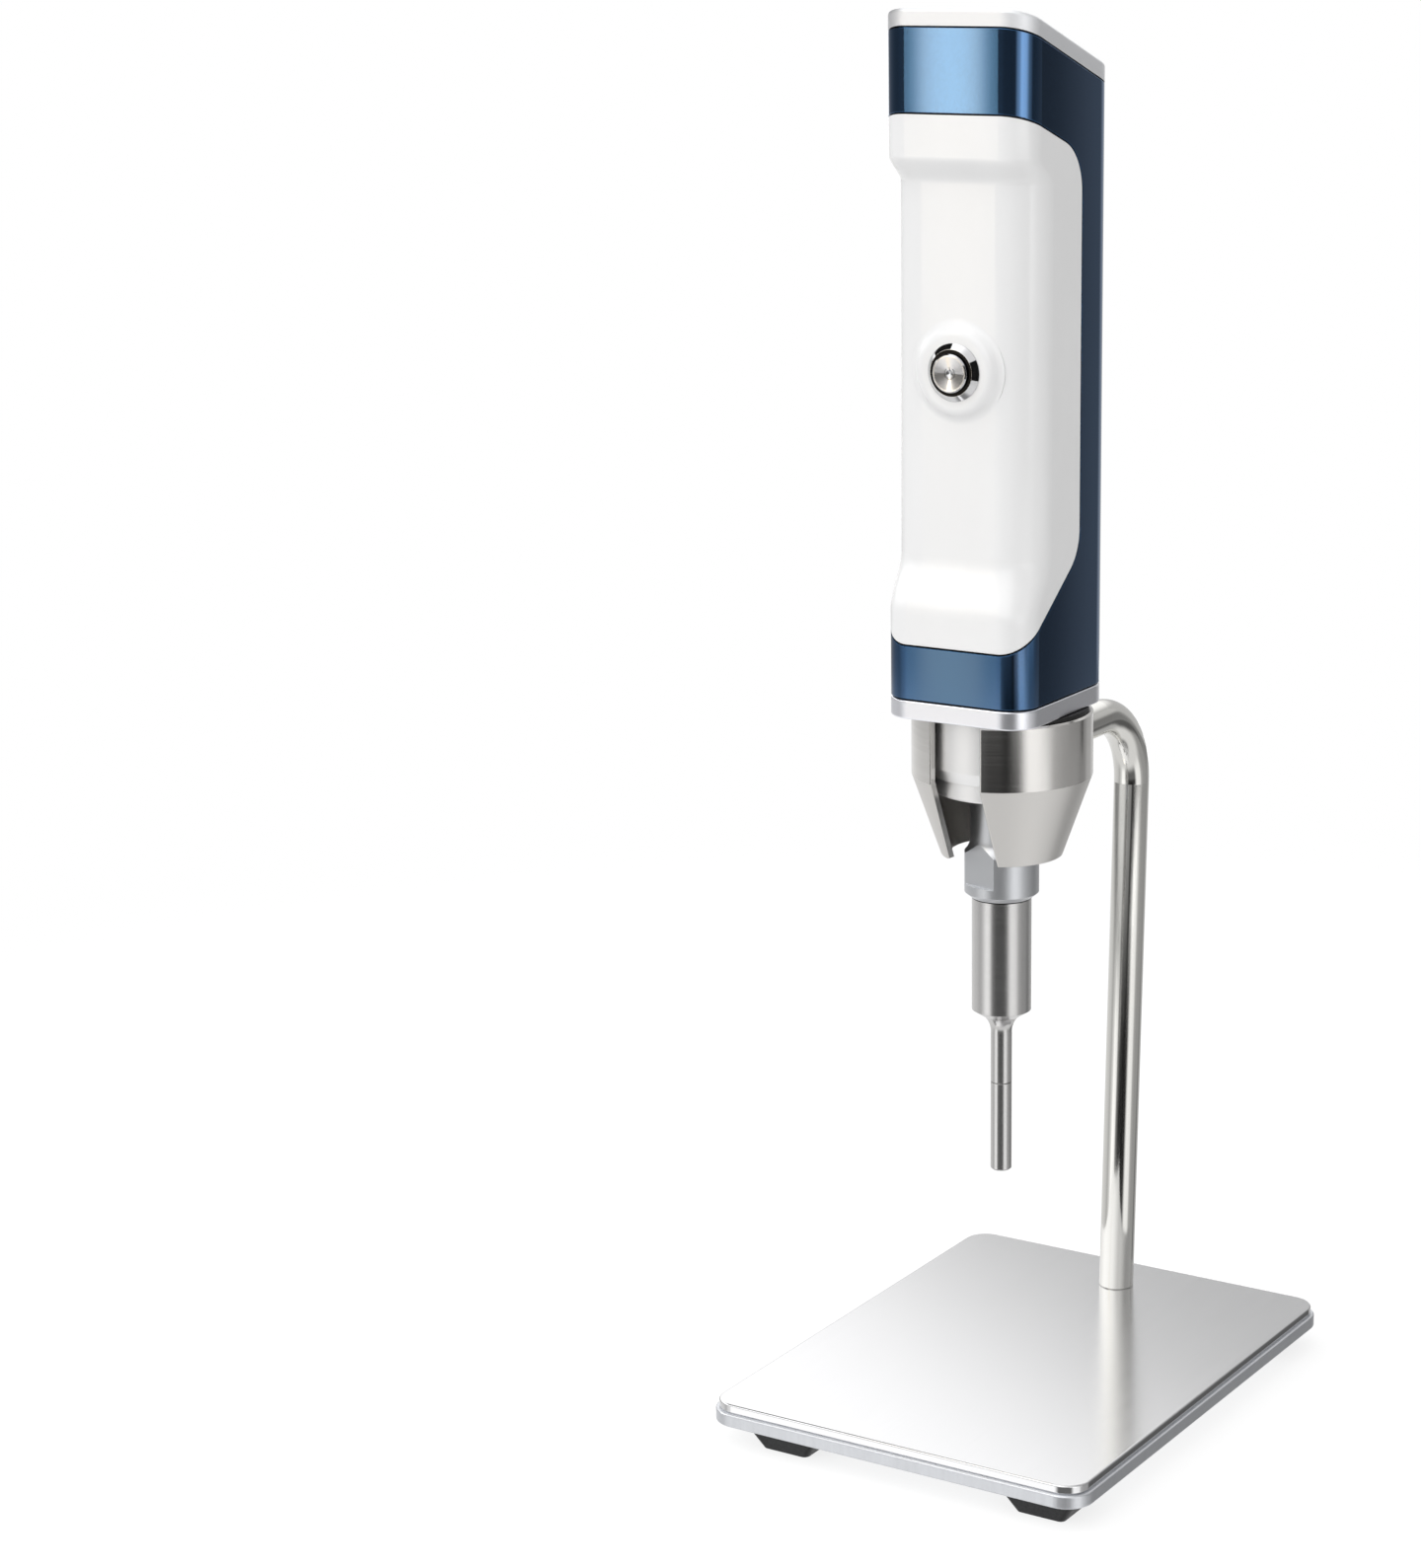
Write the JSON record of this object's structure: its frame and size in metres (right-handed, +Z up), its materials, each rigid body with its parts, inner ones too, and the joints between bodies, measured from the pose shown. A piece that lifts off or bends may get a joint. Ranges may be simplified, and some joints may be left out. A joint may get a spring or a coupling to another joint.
{
  "type": "ultrasonic homogenizer",
  "caption": "Handheld ultrasonic homogenizer with a slanted blue body, white grip cover, push button, stepped horn and tip, resting in the cup of a bent-rod bench stand.",
  "frame": {"origin": "on the bench under the middle of the base plate", "axes": "+Z up, -Y towards the user and the push button, +Y towards the upright of the stand"},
  "size_m": [0.1378, 0.1834, 0.4615],
  "materials": {
    "plate_steel_satin": "satin stainless steel",
    "plate_steel_brushed": "brushed stainless steel with a polished edge",
    "foot_rubber": "matt black rubber",
    "fastener_steel": "plain stainless steel",
    "rod_steel": "polished stainless steel",
    "cup_steel": "turned stainless steel, cylinder polished, cone satin",
    "seal_rubber": "black rubber",
    "shell_aluminium": "blue anodised, satin",
    "cap_aluminium": "fine blasted, light",
    "cover_plastic": "white, glossy",
    "collar_aluminium": "satin silver",
    "housing_aluminium": "turned, satin",
    "mass_titanium": "satin, light grey",
    "horn_titanium": "turned and brushed",
    "piezo_ceramic": "matt ceramic with silvered faces",
    "contact_brass": "plain",
    "mass_steel": "turned steel",
    "bolt_steel": "black oxide",
    "frame_aluminium": "plain sheet",
    "board_laminate": "green lacquer",
    "spacer_brass": "plain",
    "core_ferrite": "matt dark grey",
    "coil_copper": "enamelled copper wire",
    "capacitor_sleeve": "dark blue sleeve",
    "sink_aluminium": "black anodised",
    "chip_plastic": "moulded black",
    "socket_plastic": "moulded black",
    "nickel_brass": "nickel plated",
    "bezel_steel": "polished stainless steel",
    "button_steel": "spun stainless steel",
    "switch_plastic": "moulded black",
    "spring_steel": "bright spring wire"
  },
  "bodies": {
    "stand": {"base_plate": "plate_steel_satin", "top_plate": "plate_steel_brushed", "feet": "foot_rubber", "foot_screws": "fastener_steel", "stand_rod": "rod_steel", "rod_screw": "fastener_steel", "rod_washer": "fastener_steel", "holder_cup": "cup_steel"},
    "seat_ring": {"seat_ring": "seal_rubber"},
    "handset": {"body_shell": "shell_aluminium", "top_cap": "cap_aluminium", "cap_screws": "fastener_steel", "grip_cover": "cover_plastic", "cover_screws": "fastener_steel", "base_collar": "collar_aluminium", "transducer_housing": "housing_aluminium", "housing_screws": "fastener_steel", "retaining_ring": "housing_aluminium", "node_seal": "seal_rubber", "front_mass": "mass_titanium", "horn": "horn_titanium", "horn_stud": "fastener_steel", "tip": "horn_titanium", "tip_stud": "fastener_steel", "piezo_rings": "piezo_ceramic", "electrode_plates": "contact_brass", "back_mass": "mass_steel", "centre_bolt": "bolt_steel", "inner_frame": "frame_aluminium", "frame_screws": "fastener_steel", "driver_board": "board_laminate", "board_spacers": "spacer_brass", "board_screws": "fastener_steel", "transformer_core": "core_ferrite", "transformer_coil": "coil_copper", "capacitors": "capacitor_sleeve", "heat_sink": "sink_aluminium", "power_transistors": "chip_plastic", "power_socket": "socket_plastic", "socket_nut": "nickel_brass", "switch_bezel": "bezel_steel", "switch_nut": "nickel_brass", "switch_body": "switch_plastic", "switch_spring": "spring_steel"},
    "button": {"button_cap": "button_steel"}
  },
  "joints": [
    {"name": "handset_turn", "type": "hinge", "parent": "stand", "child": "seat_ring", "pos_m": [0, -0.016, 0.2404], "axis": [0, 0, 1], "continuous": true},
    {"name": "handset_lift", "type": "slide", "parent": "seat_ring", "child": "handset", "axis": [0, 0, 1], "range_m": [0, 0.16]},
    {"name": "button_press", "type": "slide", "parent": "handset", "child": "button", "axis": [0, 1, 0], "range_m": [0, 0.0012], "stiffness_N_per_m": 1500, "springref_m": -0.001, "deforming": ["switch_spring"]}
  ]
}
